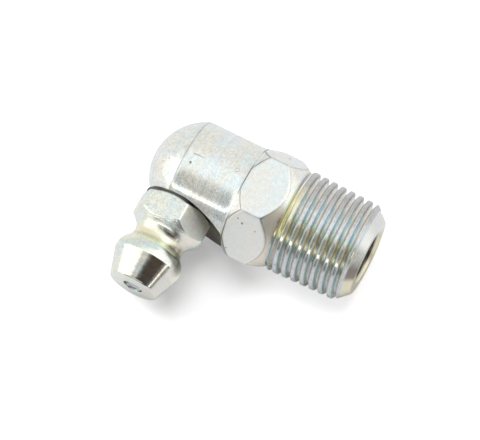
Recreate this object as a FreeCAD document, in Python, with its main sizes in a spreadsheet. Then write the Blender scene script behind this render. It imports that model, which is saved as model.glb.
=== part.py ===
import FreeCAD, Part
import math
import os
import Sketcher
from FreeCAD import Vector

# Right-angled grease nipple: a turned elbow with a taper pipe thread, and a pressed-in
# insert that holds a spring-loaded check ball. Millimetres, +Z up.
# +X runs along the thread towards its small end, and the nipple points to -Y.
# The origin is on the thread's axis at its gauge plane. The part lies on a flat of its hexagon.

doc = FreeCAD.newDocument("grease_nipple")

# driving dimensions
# "reach" is measured along X from the crossing of the two axes, towards the thread.
# "rise" is measured from that crossing along the nipple, towards its tip.
sheet = doc.addObject("Spreadsheet::Sheet", "Sizes")
SIZES = [
    # elbow body
    ("barrel_dia", 9.9),
    ("dome_edge", 0.85),            # the dome starts this far behind the nipple's axis
    ("dome_height", 3.5),
    ("hex_across", 10.0),
    ("hex_start", 5.1),             # reach of the shoulder between barrel and hexagon
    ("hex_length", 4.85),
    ("hex_chamfer_angle", 33.0),    # from the thread's axis
    ("hex_face_dia", 9.4),          # round face that the hexagon ends in, beside the thread
    ("body_reach", 17.6),           # reach of the thread's end face
    ("gauge_length", 4.0),          # from the small end to the gauge plane
    ("thread_dia", 9.728),          # major diameter at the gauge plane
    ("taper", 0.0625),              # on the diameter
    ("relief_dia", 8.9),            # groove where the thread runs out
    ("relief_width", 0.1),
    ("runout_width", 0.25),
    ("end_face_dia", 7.5),
    ("end_chamfer", 0.8),
    ("bore_dia", 4.8),
    ("bore_depth", 12.0),           # from the thread's end face, to the full diameter's end
    ("bore_chamfer", 0.3),
    ("passage_dia", 3.0),
    ("cross_bore_depth", 1.5),      # past the thread's axis, to the full diameter's end
    ("drill_point_angle", 59.0),    # half of the point's angle
    ("seat_land_width", 0.37),
    ("seat_slope", 0.6),            # rise of the conical seat for each mm of radius
    ("seat_dia", 10.4),
    # insert
    ("shank_dia", 6.0),
    ("shank_rise", 1.7),            # rise of the shank's inner end
    ("shank_chamfer", 0.2),
    ("collar_rise", 3.63),          # rise of the face that seats in the elbow
    ("collar_height", 0.17),
    ("collar_width", 0.3),
    ("insert_hex_across", 6.4),
    ("insert_hex_height", 2.7),
    ("insert_hex_turn", 22.0),      # from +Z towards +X, to the corner nearest the top
    ("base_chamfer_slope", 0.62),
    ("shoulder_edge", 0.25),        # width of the cone left between the flats and the neck
    ("neck_dia", 4.9),
    ("neck_rise", 7.55),
    ("neck_run", 0.5),              # from the narrowest place to where the head swells
    ("neck_radius", 1.35),
    ("head_dia", 6.54),
    ("head_land_start", 9.45),
    ("head_land", 0.3),
    ("head_back_radius", 1.45),
    ("head_back_run", 1.0),
    ("tip_dia", 4.78),
    ("tip_rise", 12.34),
    ("tip_edge", 0.12),
    # valve
    ("ball_dia", 2.38),
    ("valve_bore_dia", 2.7),
    ("inlet_dia", 1.86),
    ("inlet_depth", 0.45),
    ("valve_clearance", 0.04),
    ("lip_dia", 1.5),
    ("lip_thickness", 0.5),
    ("wire_dia", 0.3),
    ("coil_dia", 1.9),              # to the middle of the wire
    ("coil_turns", 6),
]
for row, (name, value) in enumerate(SIZES, start=1):
    sheet.set(f"A{row}", name)
    sheet.set(f"B{row}", str(value))
    sheet.setAlias(f"B{row}", name)
doc.recompute()


def size(name):
    """The sheet's cell of that name, as an expression reads it."""
    return f"Sizes.{name}"


BARREL_R = "Sizes.barrel_dia / 2"
HEX_END = "(Sizes.hex_start + Sizes.hex_length)"
GAUGE_REACH = "(Sizes.body_reach - Sizes.gauge_length)"
RELIEF_END = f"({HEX_END} + Sizes.relief_width)"
THREAD_START = f"({RELIEF_END} + Sizes.runout_width)"
CHAMFER_START = "(Sizes.body_reach - Sizes.end_chamfer)"
TOOL_R = "(Sizes.hex_across * 0.7)"
LAND_R = "(Sizes.shank_dia / 2 + Sizes.seat_land_width)"
SEAT_R = "(Sizes.seat_dia / 2)"
HEX_BASE = "(Sizes.collar_rise + Sizes.collar_height)"
HEX_TOP = f"({HEX_BASE} + Sizes.insert_hex_height)"
INLET_START = "(Sizes.tip_rise - Sizes.inlet_depth)"
SEAT_CONE = "((Sizes.valve_bore_dia - Sizes.inlet_dia) / 2)"
LIP_END = "(Sizes.shank_rise + Sizes.lip_thickness)"
# the ball's middle lies this far behind the sharp edge that it closes
BALL_BEHIND = "sqrt((Sizes.ball_dia / 2)^2 - (Sizes.inlet_dia / 2)^2)"
BALL_RISE = f"({INLET_START} - {BALL_BEHIND} - Sizes.valve_clearance)"
# the last coil bears on the ball at the coil's own radius
COIL_BEHIND = "sqrt(((Sizes.ball_dia + Sizes.wire_dia) / 2)^2 - (Sizes.coil_dia / 2)^2)"
COIL_END = f"({BALL_RISE} - {COIL_BEHIND} - Sizes.valve_clearance)"
COIL_START = f"({LIP_END} + Sizes.wire_dia / 2)"


def thread_radius(reach):
    """Radius over the thread's crests at a reach along the axis."""
    return f"(Sizes.thread_dia / 2 + ({GAUGE_REACH} - {reach}) * Sizes.taper / 2)"


def seat_rise(radius):
    """Rise of the conical seat at a distance from the nipple's axis."""
    return f"(Sizes.collar_rise + ({radius} - {LAND_R}) * Sizes.seat_slope)"


def number(expression):
    result = sheet.evalExpression(expression)
    return float(getattr(result, "Value", result))


def new_body(label):
    body = doc.addObject("PartDesign::Body", label)
    body.Label = label
    # the axes cross behind the gauge plane
    body.setExpression("Placement.Base.x", f"-{GAUGE_REACH}")
    return body


def new_sketch(body, name, plane, offset=None):
    sketch = body.newObject("Sketcher::SketchObject", name)
    support = next(f for f in body.Origin.OriginFeatures if f.Role == plane)
    sketch.AttachmentSupport = [(support, "")]
    sketch.MapMode = "FlatFace"
    if offset:
        sketch.setExpression("AttachmentOffset.Base.z", offset)
    return sketch


def fix_point(sketch, geometry, end, expressions, tag):
    """Holds one end of an edge at two expressions, measured from the sketch's origin."""
    for kind, axis, expression, word in (
        ("DistanceX", -2, expressions[0], "across"),
        ("DistanceY", -1, expressions[1], "along"),
    ):
        value = number(expression)
        if abs(value) < 1e-9:
            sketch.addConstraint(Sketcher.Constraint("PointOnObject", geometry, end, axis))
            continue
        if value > 0:
            rule = Sketcher.Constraint(kind, -1, 1, geometry, end, value)
        else:
            rule = Sketcher.Constraint(kind, geometry, end, -1, 1, -value)
            expression = f"-({expression})"
        index = sketch.addConstraint(rule)
        sketch.renameConstraint(index, f"{word}_{tag}")
        sketch.setExpression(f"Constraints.{word}_{tag}", expression)


def draw_outline(sketch, corners, bends=None, first=1):
    """Closed outline through corners, given as pairs of expressions.

    bends holds, for the edge that leaves a corner, the radius of its arc and the side of
    the path that the arc's middle lies on: 1 for the left, -1 for the right.
    """
    bends = bends or {}
    points = [Vector(number(x), number(y), 0) for x, y in corners]
    edges = []
    for i, start in enumerate(points):
        end = points[(i + 1) % len(points)]
        if i not in bends:
            edges.append((sketch.addGeometry(Part.LineSegment(start, end)), 1, 2))
            continue
        radius, side = number(bends[i][0]), bends[i][1]
        chord = end - start
        left = Vector(-chord.y, chord.x, 0).normalize()
        middle = (start + end) * 0.5 + left * side * math.sqrt(radius**2 - chord.Length**2 / 4)
        angles = [math.atan2(p.y - middle.y, p.x - middle.x) for p in (start, end)]
        if side < 0:
            angles.reverse()
        circle = Part.Circle(middle, Vector(0, 0, 1), radius)
        arc = sketch.addGeometry(Part.ArcOfCircle(circle, *angles))
        edges.append((arc, 1, 2) if side > 0 else (arc, 2, 1))
        index = sketch.addConstraint(Sketcher.Constraint("Radius", arc, radius))
        sketch.renameConstraint(index, f"bend_{first + i}")
        sketch.setExpression(f"Constraints.bend_{first + i}", bends[i][0])
    for i, (edge, start, end) in enumerate(edges):
        following, follow_start, _ = edges[(i + 1) % len(edges)]
        sketch.addConstraint(
            Sketcher.Constraint("Coincident", edge, end, following, follow_start))
        fix_point(sketch, edge, start, corners[i], first + i)


def draw_polygon(sketch, sides, corner_r, turn, middle=("0", "0")):
    """Regular polygon by its corner radius, turned from the sketch's second axis."""
    angles = [f"({turn} + {360 * k / sides})" for k in range(sides)]
    draw_outline(sketch, [
        (f"{middle[0]} + {corner_r} * sin({angle})", f"{middle[1]} + {corner_r} * cos({angle})")
        for angle in angles
    ])


def draw_hexagon(sketch, across, turn):
    draw_polygon(sketch, 6, f"{across} / 2 / cos(30)", turn)


def turn_profile(body, kind, name, sketch, axis):
    """Revolution or Groove of a sketch once round one of its own axes."""
    feature = body.newObject(f"PartDesign::{kind}", name)
    feature.Profile = sketch
    feature.ReferenceAxis = (sketch, [axis])
    feature.Angle = 360
    sketch.Visibility = False
    return feature


def pad_sketch(body, name, sketch, length):
    pad = body.newObject("PartDesign::Pad", name)
    pad.Profile = sketch
    pad.setExpression("Length", length)
    sketch.Visibility = False
    return pad


def build_elbow():
    body = new_body("elbow_body")

    # solid of revolution: dome, barrel, core of the hexagon, run-out groove, thread cone
    turned = new_sketch(body, "turned_profile", "XY_Plane")
    dome_r = f"((({BARREL_R})^2 + Sizes.dome_height^2) / 2 / Sizes.dome_height)"
    draw_outline(
        turned,
        [
            ("-Sizes.dome_edge - Sizes.dome_height", "0"),
            ("-Sizes.dome_edge", BARREL_R),
            (size("hex_start"), BARREL_R),
            (size("hex_start"), "Sizes.relief_dia / 2"),
            (RELIEF_END, "Sizes.relief_dia / 2"),
            (THREAD_START, thread_radius(THREAD_START)),
            (CHAMFER_START, thread_radius(CHAMFER_START)),
            (size("body_reach"), "Sizes.end_face_dia / 2"),
            (size("body_reach"), "0"),
        ],
        {0: (dome_r, -1)},
    )
    turn_profile(body, "Revolution", "turned_body", turned, "H_Axis")

    flats = new_sketch(body, "hexagon", "YZ_Plane", size("hex_start"))
    draw_hexagon(flats, size("hex_across"), "90")
    pad_sketch(body, "hexagon_pad", flats, size("hex_length"))

    # both ends of the hexagon are turned to a cone
    corners_off = new_sketch(body, "hexagon_chamfers", "XY_Plane")
    slope = "tan(Sizes.hex_chamfer_angle)"
    draw_outline(corners_off, [
        (size("hex_start"), BARREL_R),
        (f"Sizes.hex_start + ({TOOL_R} - {BARREL_R}) / {slope}", TOOL_R),
        (size("hex_start"), TOOL_R),
    ])
    draw_outline(corners_off, [
        (HEX_END, "Sizes.hex_face_dia / 2"),
        (HEX_END, TOOL_R),
        (f"{HEX_END} - ({TOOL_R} - Sizes.hex_face_dia / 2) / {slope}", TOOL_R),
    ], first=4)
    turn_profile(body, "Groove", "hexagon_cones", corners_off, "H_Axis")

    # outlet, drilled from the thread's end, and the narrower passage into the cross bore
    outlet = new_sketch(body, "outlet_profile", "XY_Plane")
    bore_end = "(Sizes.body_reach - Sizes.bore_depth)"
    bore_point = "((Sizes.bore_dia - Sizes.passage_dia) / 2 / tan(Sizes.drill_point_angle))"
    draw_outline(outlet, [
        ("0", "0"),
        ("0", "Sizes.passage_dia / 2"),
        (f"{bore_end} - {bore_point}", "Sizes.passage_dia / 2"),
        (bore_end, "Sizes.bore_dia / 2"),
        ("Sizes.body_reach - Sizes.bore_chamfer", "Sizes.bore_dia / 2"),
        (size("body_reach"), "Sizes.bore_dia / 2 + Sizes.bore_chamfer"),
        (size("body_reach"), "0"),
    ])
    turn_profile(body, "Groove", "outlet_bore", outlet, "H_Axis")

    # cross bore with its drill point, seating land and conical seat, round the nipple's axis
    seat = new_sketch(body, "seat_profile", "XY_Plane")
    shank_r = "Sizes.shank_dia / 2"
    draw_outline(seat, [
        ("0", f"Sizes.cross_bore_depth + {shank_r} / tan(Sizes.drill_point_angle)"),
        (shank_r, size("cross_bore_depth")),
        (shank_r, "-Sizes.collar_rise"),
        (LAND_R, "-Sizes.collar_rise"),
        (SEAT_R, f"-{seat_rise(SEAT_R)}"),
        (SEAT_R, f"-{TOOL_R}"),
        ("0", f"-{TOOL_R}"),
    ])
    turn_profile(body, "Groove", "cross_bore", seat, "V_Axis")
    return body


def build_insert():
    body = new_body("nipple_insert")
    flat_r = "(Sizes.insert_hex_across / 2)"
    collar_r = "(Sizes.shank_dia / 2 + Sizes.collar_width)"
    neck_r = "Sizes.neck_dia / 2"

    flats = new_sketch(body, "insert_hexagon", "XZ_Plane", HEX_BASE)
    draw_hexagon(flats, size("insert_hex_across"), size("insert_hex_turn"))
    pad_sketch(body, "insert_hexagon_pad", flats, size("insert_hex_height"))

    # cones that take the corners off, the lower one nearly parallel to the elbow's seat
    corners_off = new_sketch(body, "insert_chamfers", "XY_Plane")
    tool_r = f"({flat_r} * 1.4)"
    shoulder_r = f"({flat_r} - Sizes.shoulder_edge)"
    draw_outline(corners_off, [
        (collar_r, f"-{HEX_BASE}"),
        (tool_r, f"-{HEX_BASE}"),
        (tool_r, f"-({HEX_BASE} + ({tool_r} - {collar_r}) * Sizes.base_chamfer_slope)"),
    ])
    draw_outline(corners_off, [
        (shoulder_r, f"-{HEX_TOP}"),
        (tool_r, f"-({HEX_TOP} - ({tool_r} - {shoulder_r}))"),
        (tool_r, f"-{HEX_TOP}"),
    ], first=4)
    turn_profile(body, "Groove", "insert_cones", corners_off, "V_Axis")

    # shank, collar, neck and coupler head
    turned = new_sketch(body, "insert_profile", "XY_Plane")
    swell_r = (f"({neck_r} + Sizes.neck_radius"
               " - sqrt(Sizes.neck_radius^2 - Sizes.neck_run^2))")
    back_r = ("(Sizes.head_dia / 2 - Sizes.head_back_radius"
              " + sqrt(Sizes.head_back_radius^2 - Sizes.head_back_run^2))")
    land_end = "(Sizes.head_land_start + Sizes.head_land)"
    shank_r = "Sizes.shank_dia / 2"
    draw_outline(
        turned,
        [
            ("0", "-Sizes.shank_rise"),
            (f"{shank_r} - Sizes.shank_chamfer", "-Sizes.shank_rise"),
            (shank_r, "-Sizes.shank_rise - Sizes.shank_chamfer"),
            (shank_r, "-Sizes.collar_rise"),
            (collar_r, "-Sizes.collar_rise"),
            (collar_r, f"-{HEX_BASE}"),
            (shoulder_r, f"-{HEX_BASE}"),
            (shoulder_r, f"-{HEX_TOP}"),
            (neck_r, "-Sizes.neck_rise"),
            (swell_r, "-Sizes.neck_rise - Sizes.neck_run"),
            (back_r, "-Sizes.head_land_start + Sizes.head_back_run"),
            ("Sizes.head_dia / 2", "-Sizes.head_land_start"),
            ("Sizes.head_dia / 2", f"-{land_end}"),
            ("Sizes.tip_dia / 2", "-Sizes.tip_rise + Sizes.tip_edge"),
            ("Sizes.tip_dia / 2 - Sizes.tip_edge", "-Sizes.tip_rise"),
            ("0", "-Sizes.tip_rise"),
        ],
        {
            7: (size("neck_radius"), -1),
            8: (size("neck_radius"), -1),
            10: (size("head_back_radius"), 1),
        },
    )
    turn_profile(body, "Revolution", "turned_insert", turned, "V_Axis")

    # lip that holds the spring, valve chamber, ball seat and inlet
    chamber = new_sketch(body, "chamber_profile", "XY_Plane")
    draw_outline(chamber, [
        ("0", "-Sizes.shank_rise"),
        ("Sizes.lip_dia / 2", "-Sizes.shank_rise"),
        ("Sizes.lip_dia / 2", f"-{LIP_END}"),
        ("Sizes.valve_bore_dia / 2", f"-{LIP_END}"),
        ("Sizes.valve_bore_dia / 2", f"-({INLET_START} - {SEAT_CONE})"),
        ("Sizes.inlet_dia / 2", f"-{INLET_START}"),
        ("Sizes.inlet_dia / 2", "-Sizes.tip_rise"),
        ("0", "-Sizes.tip_rise"),
    ])
    turn_profile(body, "Groove", "valve_chamber", chamber, "V_Axis")
    return body


def build_ball():
    ball = doc.addObject("Part::Sphere", "check_ball")
    ball.Label = "check_ball"
    ball.setExpression("Radius", "Sizes.ball_dia / 2")
    ball.setExpression("Placement.Base.x", f"-{GAUGE_REACH}")
    ball.setExpression("Placement.Base.y", f"-{BALL_RISE}")
    return ball


def build_spring():
    body = new_body("check_spring")
    wire = new_sketch(body, "wire_section", "XY_Plane")
    # the wire is a six-sided rod, because a round one would take most of the part's facets
    draw_polygon(wire, 6, "Sizes.wire_dia / 2", "0", ("Sizes.coil_dia / 2", f"-{COIL_START}"))
    coil = body.newObject("PartDesign::AdditiveHelix", "coil")
    coil.Profile = wire
    coil.ReferenceAxis = (wire, ["V_Axis"])
    coil.Mode = "height-turns-angle"
    coil.Reversed = True
    coil.setExpression("Height", f"{COIL_END} - {COIL_START}")
    coil.setExpression("Turns", size("coil_turns"))
    wire.Visibility = False
    return body


pieces = [build_elbow(), build_insert(), build_ball(), build_spring()]
doc.recompute()

failed = [o.Label for o in doc.Objects if {"Invalid", "Error"} & set(o.State)]
if failed:
    raise SystemExit(f"failed objects: {failed}")
for piece in pieces:
    if piece.Shape.isNull() or not piece.Shape.isValid() or len(piece.Shape.Solids) != 1:
        raise SystemExit(f"{piece.Label} is not one valid solid")

os.makedirs("parts", exist_ok=True)
for piece in pieces:
    piece.Shape.exportStep(f"parts/{piece.Label}.step")
    box = piece.Shape.BoundBox
    print(f"{piece.Label}: {piece.Shape.Volume:.2f} mm3,"
          f" x {box.XMin:.2f} to {box.XMax:.2f},"
          f" y {box.YMin:.2f} to {box.YMax:.2f},"
          f" z {box.ZMin:.2f} to {box.ZMax:.2f}")
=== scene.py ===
import math

import bpy
import numpy as np
from mathutils import Matrix, Vector


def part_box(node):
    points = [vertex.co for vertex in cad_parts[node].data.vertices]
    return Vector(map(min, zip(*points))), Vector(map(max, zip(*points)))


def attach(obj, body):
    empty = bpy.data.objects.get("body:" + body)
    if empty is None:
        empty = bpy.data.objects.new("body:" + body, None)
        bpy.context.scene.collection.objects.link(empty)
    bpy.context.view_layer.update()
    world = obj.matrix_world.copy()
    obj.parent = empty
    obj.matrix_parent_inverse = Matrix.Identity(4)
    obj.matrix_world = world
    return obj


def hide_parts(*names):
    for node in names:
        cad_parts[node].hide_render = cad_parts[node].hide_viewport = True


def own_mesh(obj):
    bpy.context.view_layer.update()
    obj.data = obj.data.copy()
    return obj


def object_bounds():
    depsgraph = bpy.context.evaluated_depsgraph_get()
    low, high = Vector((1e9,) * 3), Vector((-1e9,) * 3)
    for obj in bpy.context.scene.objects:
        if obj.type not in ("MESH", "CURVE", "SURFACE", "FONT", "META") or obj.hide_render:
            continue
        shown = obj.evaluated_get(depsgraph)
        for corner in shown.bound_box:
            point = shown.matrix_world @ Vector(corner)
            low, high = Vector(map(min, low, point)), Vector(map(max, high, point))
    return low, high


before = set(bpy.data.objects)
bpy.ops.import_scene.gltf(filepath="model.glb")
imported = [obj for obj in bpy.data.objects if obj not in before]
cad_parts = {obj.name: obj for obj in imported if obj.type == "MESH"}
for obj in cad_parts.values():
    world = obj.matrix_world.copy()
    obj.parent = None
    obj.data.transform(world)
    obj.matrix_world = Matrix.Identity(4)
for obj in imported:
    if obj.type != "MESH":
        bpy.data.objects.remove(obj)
cadLow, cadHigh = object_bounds()

# Right-angled grease nipple on a pale floor. Shapes are worked out in millimetres and
# go into the meshes in metres, in the part's own frame: +X along the thread, -Y along the nipple.
mm = 0.001

# where the two axes cross, and how far the thread's end face lies from there
ballLow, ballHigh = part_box("check_ball")
crossX = (ballLow.x + ballHigh.x) / 2 / mm
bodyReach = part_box("elbow_body")[1].x / mm - crossX
tipRise = -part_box("nipple_insert")[0].y / mm


# Shape helpers: an outline is an array of (along, radius) points in millimetres

def linePoints(start, end, step):
    # evenly spaced points from start to end, without the end
    count = max(1, math.ceil(math.dist(start, end) / step))
    share = np.arange(count)[:, None] / count
    return np.array(start) * (1 - share) + np.array(end) * share


def arcPoints(start, end, bend, side, step):
    # points on the circle of radius bend through both ends, without the end;
    # its middle lies to the left of the way from start to end for side 1, to the right for -1
    start, end = np.array(start, float), np.array(end, float)
    chord = end - start
    length = np.hypot(*chord)
    left = np.array([-chord[1], chord[0]]) / length
    middle = (start + end) / 2 + side * left * math.sqrt(bend ** 2 - length ** 2 / 4)
    first = math.atan2(*(start - middle)[::-1])
    turn = side * 2 * math.asin(length / 2 / bend)
    count = max(2, math.ceil(abs(turn) * bend / step))
    angle = first + turn * np.arange(count) / count
    return middle + bend * np.stack([np.cos(angle), np.sin(angle)], 1)


def easedOutline(corners, step):
    # straight runs between corners, each corner rounded by a parabola that starts its ease away
    corners = [(np.array(c[:2], float), c[2] if len(c) > 2 else 0.0) for c in corners]
    points, last = [], corners[0][0]
    for (before, _), (here, ease), (after, _) in zip(corners, corners[1:], corners[2:]):
        if not ease:
            points.append(linePoints(last, here, step))
            last = here
            continue
        start = here + (before - here) / math.dist(before, here) * ease
        end = here + (after - here) / math.dist(after, here) * ease
        t = np.linspace(0, 1, 6)[:-1, None]
        points.append(linePoints(last, start, step))
        points.append((1 - t) ** 2 * start + 2 * t * (1 - t) * here + t ** 2 * end)
        last = end
    points.append(linePoints(last, corners[-1][0], step))
    return np.vstack(points)


def softMin(first, second, ease):
    # the smaller of two values, with a parabola where they are within ease of each other
    share = np.clip(0.5 + 0.5 * (second - first) / ease, 0, 1)
    return second * (1 - share) + first * share - ease * share * (1 - share)


def smoothStep(value, low, high):
    share = np.clip((value - low) / (high - low), 0, 1)
    return share * share * (3 - 2 * share)


def cornerAngles(first, perSide, crowding):
    # angles once round, closer together near the six corners of a hexagon
    step = np.arange(6 * perSide) / perSide
    side, share = np.floor(step), step % 1
    return first + np.radians(60) * (side + share - crowding * np.sin(2 * np.pi * share) / (2 * np.pi))


def hexagonRadius(angle, first, across, ease):
    # distance from the axis to the nearest of the hexagon's planes, corners eased
    turned = (angle - first) % np.radians(60) - np.radians(30)
    planes = [across / 2 / np.cos(turned + np.radians(k)) for k in (-60, 0, 60)]
    return -ease * np.log(sum(np.exp(-plane / ease) for plane in planes))


def addObject(name, data):
    added = bpy.data.objects.new(name, data)
    bpy.context.scene.collection.objects.link(added)
    return added


def ringMesh(name, points, ends=None):
    # rings of points in millimetres, joined by quads. With two ends, a fan from each closes the
    # piece, and without them the last ring is joined to the first
    rows, columns = points.shape[:2]
    vertices = points.reshape(-1, 3)
    here = np.arange(rows * columns).reshape(rows, columns)
    beside = np.roll(here, -1, 1)
    if ends is None:
        quads = np.stack([here, beside, np.roll(beside, -1, 0), np.roll(here, -1, 0)], -1)
    else:
        quads = np.stack([here[:-1], beside[:-1], beside[1:], here[1:]], -1)
    faces = quads.reshape(-1, 4).tolist()
    if ends is not None:
        low = np.full(columns, rows * columns)
        faces += np.stack([low, beside[0], here[0]], -1).tolist()
        faces += np.stack([low + 1, here[-1], beside[-1]], -1).tolist()
        vertices = np.vstack([vertices, ends])
    mesh = bpy.data.meshes.new(name)
    mesh.from_pydata((vertices * mm).tolist(), [], faces)
    mesh.validate()
    return addObject(name, mesh)


def roundMesh(name, parts, angles, middle, axis, zero, poles=None, loop=False):
    # surface of revolution and its like: point = middle + axis * along
    # + radius * (zero * cos(angle) + side * sin(angle)), with side = axis x zero.
    # Each part is an outline, or along with one value a ring and radius with one a ring and angle.
    # Unless it is a loop, it closes on the axis, at the poles or else level with its end rings
    parts = [part if isinstance(part, tuple) else (part[:, 0], part[:, 1:]) for part in parts]
    along = np.concatenate([part[0] for part in parts])
    radius = np.vstack([np.broadcast_to(part[1], (len(part[0]), len(angles))) for part in parts])
    axis, zero, middle = np.array(axis, float), np.array(zero, float), np.array(middle, float)
    side = np.cross(axis, zero)
    ring = zero * np.cos(angles)[:, None] + side * np.sin(angles)[:, None]
    points = middle + axis * along[:, None, None] + radius[..., None] * ring
    if loop:
        return ringMesh(name, points)
    return ringMesh(name, points, middle + axis * np.array(poles or (along[0], along[-1]))[:, None])


def finishShading(piece, edgeAngle):
    # smooth faces, with edges sharper than the angle left crisp
    mesh = piece.data
    mesh.polygons.foreach_set("use_smooth", np.ones(len(mesh.polygons), bool))
    mesh.set_sharp_from_angle(angle=math.radians(edgeAngle))
    mesh.update()


def cutAway(piece, cutter):
    # takes the cutter out of the piece and removes it
    cut = piece.modifiers.new("cut", "BOOLEAN")
    cut.operation, cut.solver, cut.object = "DIFFERENCE", "EXACT", cutter
    bpy.context.view_layer.update()
    whole = piece.evaluated_get(bpy.context.evaluated_depsgraph_get())
    result = bpy.data.meshes.new_from_object(whole)
    piece.modifiers.clear()
    piece.data = result
    bpy.data.objects.remove(cutter)


# Elbow body

elbow = {
    "barrelRadius": 4.95, "domeHeight": 3.5, "domeEdge": 0.85,
    "hexAcross": 10.0, "hexStart": 5.1, "hexStep": 0.07, "hexEnd": 9.55, "hexFaceRadius": 4.7,
    "hexChamfer": 33.0,         # degrees from the thread's axis
    "reliefRadius": 4.5, "reliefEnd": 9.63, "runoutEnd": 9.85,
    "gaugeLength": 4.0, "threadRadius": 4.864, "taper": 1 / 32,      # on the radius
    "pitch": 0.907, "threadDepth": 0.56, "sharpDepth": 1.3, "crestShare": 0.42, "threadEase": 0.16,
    "threadStart": 0.12,        # share of a turn that moves the crests towards the end
    "fadeStart": 9.65, "fadeEnd": 10.3,      # the groove grows to its full depth here
    "chamferLength": 1.2, "endFaceRadius": 3.65,
    "boreRadius": 2.4, "boreDepth": 12.0, "boreChamfer": 0.3,
    "passageRadius": 1.5, "drillPoint": 59.0,
    "flatEase": 0.05, "edgeEase": 0.09, "boundEase": 0.05, "grooveEase": 0.06,
    "perSide": 36, "crowding": 0.7, "hexRings": 56, "threadRings": 216,
}
seat = {
    "shankRadius": 3.0, "boreBack": 1.5, "collarRise": 3.63, "landRadius": 3.37,
    "slope": 0.6, "radius": 5.2, "clearRise": 7.0, "perRing": 192,
}


def threadRadius(reach, angle):
    # taper cone over the crests, less a round-edged 55 degree groove that winds right-handed:
    # its depth follows the share of a pitch that the point lies from the nearest crest
    crest = elbow["threadRadius"] + (bodyReach - elbow["gaugeLength"] - reach) * elbow["taper"]
    wave = (reach / elbow["pitch"] - angle / (2 * np.pi) - elbow["threadStart"] + 0.5) % 1 - 0.5
    depth = elbow["sharpDepth"] * (2 * np.abs(wave) - elbow["crestShare"])
    depth = -softMin(-depth, 0, elbow["threadEase"])
    depth = softMin(depth, elbow["threadDepth"], elbow["threadEase"])
    return crest - depth * smoothStep(reach, elbow["fadeStart"], elbow["fadeEnd"])


def buildElbow():
    e = elbow
    angles = cornerAngles(0.0, e["perSide"], e["crowding"])
    # dome: a sphere that meets the barrel at its edge
    poleReach = -e["domeEdge"] - e["domeHeight"]
    domeRadius = (e["barrelRadius"] ** 2 + e["domeHeight"] ** 2) / 2 / e["domeHeight"]
    dome = arcPoints((poleReach, 0), (-e["domeEdge"], e["barrelRadius"]), domeRadius, side=-1, step=0.13)[1:]
    barrel = linePoints((-e["domeEdge"], e["barrelRadius"]), (e["hexStart"], e["barrelRadius"]), step=0.3)

    # hexagon: the nearest of its flats and of the two cones that take its corners off
    slope = math.tan(math.radians(e["hexChamfer"]))
    hexReach = np.linspace(e["hexStart"], e["hexEnd"], e["hexRings"])
    reach = hexReach[:, None]
    flats = hexagonRadius(angles, 0.0, e["hexAcross"], e["flatEase"])
    cones = softMin(e["barrelRadius"] + e["hexStep"] + (reach - e["hexStart"]) * slope,
                    e["hexFaceRadius"] + (e["hexEnd"] - reach) * slope, e["edgeEase"])
    hexRadius = softMin(flats, cones, e["edgeEase"])

    # run-out groove, thread and end chamfer
    grooveReach = np.linspace(e["reliefEnd"], bodyReach, e["threadRings"])
    reach = grooveReach[:, None]
    crestStart = e["threadRadius"] + (bodyReach - e["gaugeLength"] - e["runoutEnd"]) * e["taper"]
    rise = (crestStart - e["reliefRadius"]) / (e["runoutEnd"] - e["reliefEnd"])
    runout = e["reliefRadius"] + (reach - e["reliefEnd"]) * rise
    chamferStart = bodyReach - e["chamferLength"]
    crestEnd = e["threadRadius"] + (e["chamferLength"] - e["gaugeLength"]) * e["taper"]
    fall = (crestEnd - e["endFaceRadius"]) / e["chamferLength"]
    chamfer = crestEnd - (reach - chamferStart) * fall
    thread = softMin(threadRadius(reach, angles), softMin(runout, chamfer, e["boundEase"]), e["grooveEase"])

    # end face, outlet bore with its drill point, and the passage
    boreEnd = bodyReach - e["boreDepth"]
    point = (e["boreRadius"] - e["passageRadius"]) / math.tan(math.radians(e["drillPoint"]))
    mouthRadius = e["boreRadius"] + e["boreChamfer"]
    inside = easedOutline([
        (bodyReach, e["endFaceRadius"] - 0.03), (bodyReach, mouthRadius, 0.04),
        (bodyReach - e["boreChamfer"], e["boreRadius"], 0.04), (boreEnd, e["boreRadius"]),
        (boreEnd - point, e["passageRadius"]), (0, e["passageRadius"]), (0, 0.3),
    ], step=0.5)

    face = np.array([(e["hexEnd"], e["hexFaceRadius"] - 0.05), (e["hexEnd"], e["reliefRadius"])])
    parts = [dome, barrel, (hexReach, hexRadius), face, (grooveReach, thread), inside]
    body = roundMesh("elbow_shell", parts, angles, (crossX, 0, 0), (1, 0, 0), (0, 1, 0))

    # cross bore, seating land and conical seat, cut round the nipple's axis
    s = seat
    drill = s["shankRadius"] / math.tan(math.radians(e["drillPoint"]))
    outline = easedOutline([
        (-s["boreBack"] - drill, 0), (-s["boreBack"], s["shankRadius"]),
        (s["collarRise"], s["shankRadius"]), (s["collarRise"], s["landRadius"]),
        (s["collarRise"] + (s["radius"] - s["landRadius"]) * s["slope"], s["radius"]),
        (s["clearRise"], s["radius"]), (s["clearRise"], 0),
    ], step=0.6)[1:]
    around = np.linspace(0, 2 * np.pi, s["perRing"] + 1)[:-1]
    cutter = roundMesh("seat_cutter", [outline], around, (crossX, 0, 0), (0, -1, 0), (0, 0, 1))
    cutAway(body, cutter)
    finishShading(body, edgeAngle=24)
    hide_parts("elbow_body")
    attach(body, "fitting")
    print("elbow:", len(body.data.polygons), "faces")
    return body


# Nipple insert

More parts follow.
